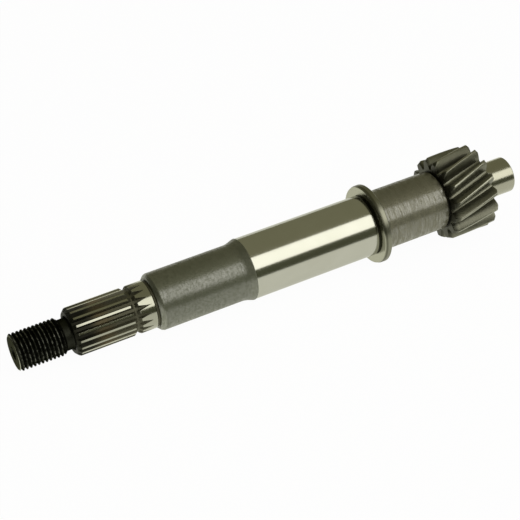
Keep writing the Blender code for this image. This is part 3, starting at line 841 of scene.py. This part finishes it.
def tooth_outline(tip, inset):
    """The pinion's outline with its tips cut at one radius, drawn in by a small inset."""
    pitch = 2 * math.pi / PINION_TEETH
    flank_start = gap_radius + PINION_ROOT_FILLET
    fillet_angle = PINION_ROOT_FILLET / gap_radius
    small_rounding = ROUNDING_SHARE * TIP_ROUNDING
    side = [(gap_radius, pitch / 2), (gap_radius, half_thickness(flank_start) + fillet_angle)]
    side.append((gap_radius + ROUNDING_SHARE * PINION_ROOT_FILLET,
                 half_thickness(flank_start) + ROUNDING_SHARE * fillet_angle))
    for number in range(FLANK_POINTS):
        radius = flank_start + (tip - TIP_ROUNDING - flank_start) * number / (FLANK_POINTS - 1)
        side.append((radius, half_thickness(radius)))
    side.append((tip - small_rounding, half_thickness(tip) - small_rounding / tip))
    side += [(tip, half_thickness(tip) - TIP_ROUNDING / tip), (tip, 0.0)]
    drawn_in = [(radius - inset, angle - inset / radius * (radius > flank_start)) for radius, angle in side]
    tooth = [(radius, -angle) for radius, angle in drawn_in] + drawn_in[-2:0:-1]
    return [(radius, angle + number * pitch) for number in range(PINION_TEETH) for radius, angle in tooth]


def tooth_end(face, inward, chamfer):
    """Stations from an end face into the teeth: its edges are rounded and its tips chamfered."""
    chamfer_slope = PINION_CHAMFER_DEPTH / chamfer
    small_rounding = ROUNDING_SHARE * END_ROUNDING
    rounded = []
    for depth, inset in ((0.0, END_ROUNDING), (small_rounding, small_rounding), (END_ROUNDING, 0.0)):
        tip = tip_radius - PINION_CHAMFER_DEPTH + chamfer_slope * depth
        rounded.append((face + inward * depth, tip, inset))
    return rounded


def shape_station(piece, first, height, tip, inset):
    """Moves one ring of vertices onto the teeth's outline, turned back by the helix."""
    bpy.ops.object.mode_set(mode="OBJECT")
    turned_by = PINION_PHASE - twist_per_metre * (height - PINION_START)
    for vertex, (radius, angle) in zip(piece.data.vertices[first:], tooth_outline(tip, inset)):
        angle += turned_by
        vertex.co = (radius * math.cos(angle), radius * math.sin(angle), height)
    bpy.ops.object.mode_set(mode="EDIT")


full_start = PINION_START + PINION_FRONT_CHAMFER
full_length = PINION_FACE_WIDTH - PINION_FRONT_CHAMFER - PINION_REAR_CHAMFER
stations = tooth_end(PINION_START, 1, PINION_FRONT_CHAMFER)
for number in range(HELIX_STATIONS + 1):
    stations.append((full_start + full_length * number / HELIX_STATIONS, tip_radius, 0.0))
stations += reversed(tooth_end(PINION_END, -1, PINION_REAR_CHAMFER))

outline_count = len(tooth_outline(tip_radius, 0.0))
bpy.ops.object.select_all(action="DESELECT")
bpy.ops.mesh.primitive_circle_add(
    vertices=outline_count, radius=pitch_radius, fill_type="NGON", location=(0.0, 0.0, PINION_START))
bpy.ops.object.transform_apply(location=True, rotation=True, scale=True)
pinion = bpy.context.object
pinion.name = "helical_pinion"
pinion.data.name = "helical_pinion"
shape_station(pinion, 0, *stations[0])
bpy.ops.mesh.select_all(action="SELECT")
for number, (before, after) in enumerate(zip(stations, stations[1:])):
    bpy.ops.mesh.extrude_region_move(TRANSFORM_OT_translate={"value": (0.0, 0.0, after[0] - before[0])})
    shape_station(pinion, (number + 1) * outline_count, *after)
bpy.ops.mesh.select_all(action="SELECT")
bpy.ops.mesh.normals_make_consistent(inside=False)
bpy.ops.object.mode_set(mode="OBJECT")

hardened = Steel("hardened_pinion", PINION_EDGE_TINT)
tip_land = hardened.outwards(tip_radius, low=-0.14, high=-0.02)
scale_spots = hardened.grain(around=0.7, along=0.5, detail=4.0)
hobbing = hardened.grain(around=0.5, along=3.0)
pinion_colour = hardened.blend(scale_spots, PINION_DARK_COLOUR, PINION_LIGHT_COLOUR)
pinion_colour = hardened.blend(tip_land, pinion_colour, TIP_LAND_COLOUR)
# painted shade: the teeth's front ends and chamfers are darkened, where shade falls beside the groove
painted_shade_front_ends = 1.0 - hardened.onwards(PINION_START, low=0.4, high=1.8)
pinion_colour = hardened.blend(PINION_FRONT_SHADE_STRENGTH * painted_shade_front_ends, pinion_colour, PINION_FRONT_SHADE_COLOUR)
pinion_roughness = PINION_ROUGHNESS - 0.06 * tip_land + 0.1 * scale_spots
pinion_material = hardened.look(pinion_colour, pinion_roughness, scale_spots + 0.5 * hobbing, PINION_RELIEF)
lay_down(pinion, pinion_material, PINION_SHARP_ANGLE)
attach(pinion, "root")
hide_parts("drive_shaft")


# End journal: the short bright seat of the rear bearing, with a broken edge and the second
# centre hole.
END_DIAMETER = 11.9 * MM
END_CHAMFER = 0.4 * MM
END_EDGE_WIDTH = 0.08 * MM
SHAFT_LENGTH = 174.9 * MM

END_EDGE_TINT = 1.0
END_DARK_COLOUR = (0.345, 0.34, 0.275, 1.0)
END_LIGHT_COLOUR = (0.39, 0.385, 0.33, 1.0)
END_ROUGHNESS = 0.17
END_RELIEF = 0.003 * MM

end_radius = END_DIAMETER / 2
end_journal = draw_section("end_journal", [
    (0.0, PINION_END - HIDDEN_OVERLAP), (end_radius, PINION_END - HIDDEN_OVERLAP),
    (end_radius, SHAFT_LENGTH - END_CHAMFER), (end_radius - END_CHAMFER, SHAFT_LENGTH),
    (CENTRE_MOUTH_DIAMETER / 2, SHAFT_LENGTH), (CENTRE_PILOT_DIAMETER / 2, SHAFT_LENGTH - CENTRE_CONE_DEPTH),
    (CENTRE_PILOT_DIAMETER / 2, SHAFT_LENGTH - CENTRE_PILOT_DEPTH), (0.0, SHAFT_LENGTH - CENTRE_POINT_DEPTH)])
turn(end_journal)
break_edges(end_journal, END_EDGE_WIDTH)

polished = Steel("ground_end", END_EDGE_TINT)
end_marks = polished.grain(around=0.15, along=8.0, detail=4.0)
end_film = polished.grain(around=0.3, along=0.2)
end_colour = polished.blend(end_film, END_DARK_COLOUR, END_LIGHT_COLOUR)
end_material = polished.look(end_colour, END_ROUGHNESS + 0.06 * end_marks, end_marks, END_RELIEF)
lay_down(end_journal, end_material)
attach(end_journal, "root")
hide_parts("drive_shaft")
